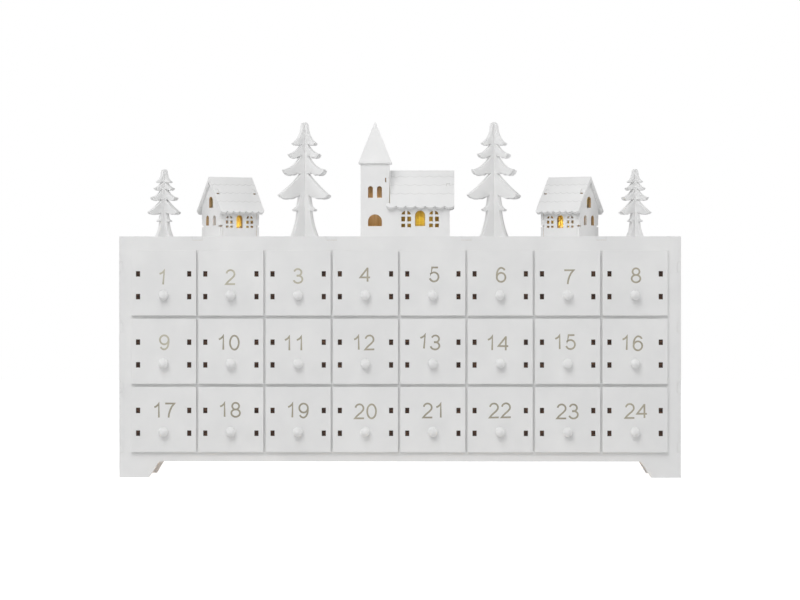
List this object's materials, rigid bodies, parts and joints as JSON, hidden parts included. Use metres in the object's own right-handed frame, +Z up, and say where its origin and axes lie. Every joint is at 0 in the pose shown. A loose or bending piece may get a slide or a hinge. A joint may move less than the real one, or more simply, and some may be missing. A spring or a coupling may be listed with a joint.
{
  "type": "wooden advent calendar with drawers and lit village",
  "caption": "White plywood advent calendar cabinet on short feet, with numbered knob drawers and a lit village of fir trees, houses and a church standing on its top.",
  "frame": {"origin": "on the floor, in the middle of the overall width and depth", "axes": "+X along the cabinet to the right as seen from the drawers, +Y from the drawers to the back, +Z up"},
  "size_m": [0.45, 0.0932, 0.2864],
  "materials": {
    "painted_wood": "matt white paint",
    "drawer_wood": "matt white paint, dark cut edges",
    "plain_plywood": "bare plywood",
    "white_plastic": "fine matt",
    "black_plastic": "fine matt",
    "cell_jacket": "satin",
    "spring_steel": "plated",
    "lamp_lens": "warm lit lens",
    "wire_sleeve": "satin"
  },
  "bodies": {
    "cabinet": {"front_panel": "painted_wood", "back_panel": "painted_wood", "left_side_panel": "painted_wood", "right_side_panel": "painted_wood", "top_panel": "painted_wood", "bottom_panel": "plain_plywood", "lower_shelf": "plain_plywood", "upper_shelf": "plain_plywood", "wiring_deck": "plain_plywood", "dividers": "plain_plywood", "left_small_tree_outer_sheet": "painted_wood", "left_small_tree_inner_sheet": "painted_wood", "left_large_tree_outer_sheet": "painted_wood", "left_large_tree_inner_sheet": "painted_wood", "right_small_tree_outer_sheet": "painted_wood", "right_small_tree_inner_sheet": "painted_wood", "right_large_tree_outer_sheet": "painted_wood", "right_large_tree_inner_sheet": "painted_wood", "left_house_walls": "painted_wood", "left_house_roof": "painted_wood", "right_house_walls": "painted_wood", "right_house_roof": "painted_wood", "church_front_wall": "painted_wood", "church_cross_wall": "painted_wood", "church_tower_walls": "painted_wood", "church_nave_walls": "painted_wood", "church_nave_roof": "painted_wood", "church_spire": "painted_wood", "village_lamps": "lamp_lens", "lamp_wires": "wire_sleeve", "battery_case": "white_plastic", "battery_cells": "cell_jacket", "battery_contacts": "spring_steel", "case_screws": "spring_steel"},
    "drawer_17": {"drawer_17": "drawer_wood"},
    "drawer_18": {"drawer_18": "drawer_wood"},
    "drawer_19": {"drawer_19": "drawer_wood"},
    "drawer_20": {"drawer_20": "drawer_wood"},
    "drawer_21": {"drawer_21": "drawer_wood"},
    "drawer_22": {"drawer_22": "drawer_wood"},
    "drawer_23": {"drawer_23": "drawer_wood"},
    "drawer_24": {"drawer_24": "drawer_wood"},
    "drawer_09": {"drawer_09": "drawer_wood"},
    "drawer_10": {"drawer_10": "drawer_wood"},
    "drawer_11": {"drawer_11": "drawer_wood"},
    "drawer_12": {"drawer_12": "drawer_wood"},
    "drawer_13": {"drawer_13": "drawer_wood"},
    "drawer_14": {"drawer_14": "drawer_wood"},
    "drawer_15": {"drawer_15": "drawer_wood"},
    "drawer_16": {"drawer_16": "drawer_wood"},
    "drawer_01": {"drawer_01": "drawer_wood"},
    "drawer_02": {"drawer_02": "drawer_wood"},
    "drawer_03": {"drawer_03": "drawer_wood"},
    "drawer_04": {"drawer_04": "drawer_wood"},
    "drawer_05": {"drawer_05": "drawer_wood"},
    "drawer_06": {"drawer_06": "drawer_wood"},
    "drawer_07": {"drawer_07": "drawer_wood"},
    "drawer_08": {"drawer_08": "drawer_wood"},
    "battery_cover": {"battery_cover": "white_plastic"},
    "switch_slider": {"switch_slider": "black_plastic"}
  },
  "joints": [
    {"name": "drawer_01_slide", "type": "slide", "parent": "cabinet", "child": "drawer_01", "axis": [0, -1, 0], "range_m": [0, 0.04]},
    {"name": "drawer_02_slide", "type": "slide", "parent": "cabinet", "child": "drawer_02", "axis": [0, -1, 0], "range_m": [0, 0.04]},
    {"name": "drawer_03_slide", "type": "slide", "parent": "cabinet", "child": "drawer_03", "axis": [0, -1, 0], "range_m": [0, 0.04]},
    {"name": "drawer_04_slide", "type": "slide", "parent": "cabinet", "child": "drawer_04", "axis": [0, -1, 0], "range_m": [0, 0.04]},
    {"name": "drawer_05_slide", "type": "slide", "parent": "cabinet", "child": "drawer_05", "axis": [0, -1, 0], "range_m": [0, 0.04]},
    {"name": "drawer_06_slide", "type": "slide", "parent": "cabinet", "child": "drawer_06", "axis": [0, -1, 0], "range_m": [0, 0.04]},
    {"name": "drawer_07_slide", "type": "slide", "parent": "cabinet", "child": "drawer_07", "axis": [0, -1, 0], "range_m": [0, 0.04]},
    {"name": "drawer_08_slide", "type": "slide", "parent": "cabinet", "child": "drawer_08", "axis": [0, -1, 0], "range_m": [0, 0.04]},
    {"name": "drawer_09_slide", "type": "slide", "parent": "cabinet", "child": "drawer_09", "axis": [0, -1, 0], "range_m": [0, 0.04]},
    {"name": "drawer_10_slide", "type": "slide", "parent": "cabinet", "child": "drawer_10", "axis": [0, -1, 0], "range_m": [0, 0.04]},
    {"name": "drawer_11_slide", "type": "slide", "parent": "cabinet", "child": "drawer_11", "axis": [0, -1, 0], "range_m": [0, 0.04]},
    {"name": "drawer_12_slide", "type": "slide", "parent": "cabinet", "child": "drawer_12", "axis": [0, -1, 0], "range_m": [0, 0.04]},
    {"name": "drawer_13_slide", "type": "slide", "parent": "cabinet", "child": "drawer_13", "axis": [0, -1, 0], "range_m": [0, 0.04]},
    {"name": "drawer_14_slide", "type": "slide", "parent": "cabinet", "child": "drawer_14", "axis": [0, -1, 0], "range_m": [0, 0.04]},
    {"name": "drawer_15_slide", "type": "slide", "parent": "cabinet", "child": "drawer_15", "axis": [0, -1, 0], "range_m": [0, 0.04]},
    {"name": "drawer_16_slide", "type": "slide", "parent": "cabinet", "child": "drawer_16", "axis": [0, -1, 0], "range_m": [0, 0.04]},
    {"name": "drawer_17_slide", "type": "slide", "parent": "cabinet", "child": "drawer_17", "axis": [0, -1, 0], "range_m": [0, 0.04]},
    {"name": "drawer_18_slide", "type": "slide", "parent": "cabinet", "child": "drawer_18", "axis": [0, -1, 0], "range_m": [0, 0.04]},
    {"name": "drawer_19_slide", "type": "slide", "parent": "cabinet", "child": "drawer_19", "axis": [0, -1, 0], "range_m": [0, 0.04]},
    {"name": "drawer_20_slide", "type": "slide", "parent": "cabinet", "child": "drawer_20", "axis": [0, -1, 0], "range_m": [0, 0.04]},
    {"name": "drawer_21_slide", "type": "slide", "parent": "cabinet", "child": "drawer_21", "axis": [0, -1, 0], "range_m": [0, 0.04]},
    {"name": "drawer_22_slide", "type": "slide", "parent": "cabinet", "child": "drawer_22", "axis": [0, -1, 0], "range_m": [0, 0.04]},
    {"name": "drawer_23_slide", "type": "slide", "parent": "cabinet", "child": "drawer_23", "axis": [0, -1, 0], "range_m": [0, 0.04]},
    {"name": "drawer_24_slide", "type": "slide", "parent": "cabinet", "child": "drawer_24", "axis": [0, -1, 0], "range_m": [0, 0.04]},
    {"name": "battery_cover_lift", "type": "slide", "parent": "cabinet", "child": "battery_cover", "axis": [0, 1, 0], "range_m": [0, 0.03]},
    {"name": "light_switch_slide", "type": "slide", "parent": "cabinet", "child": "switch_slider", "axis": [0, 0, 1], "range_m": [0, 0.003]}
  ]
}
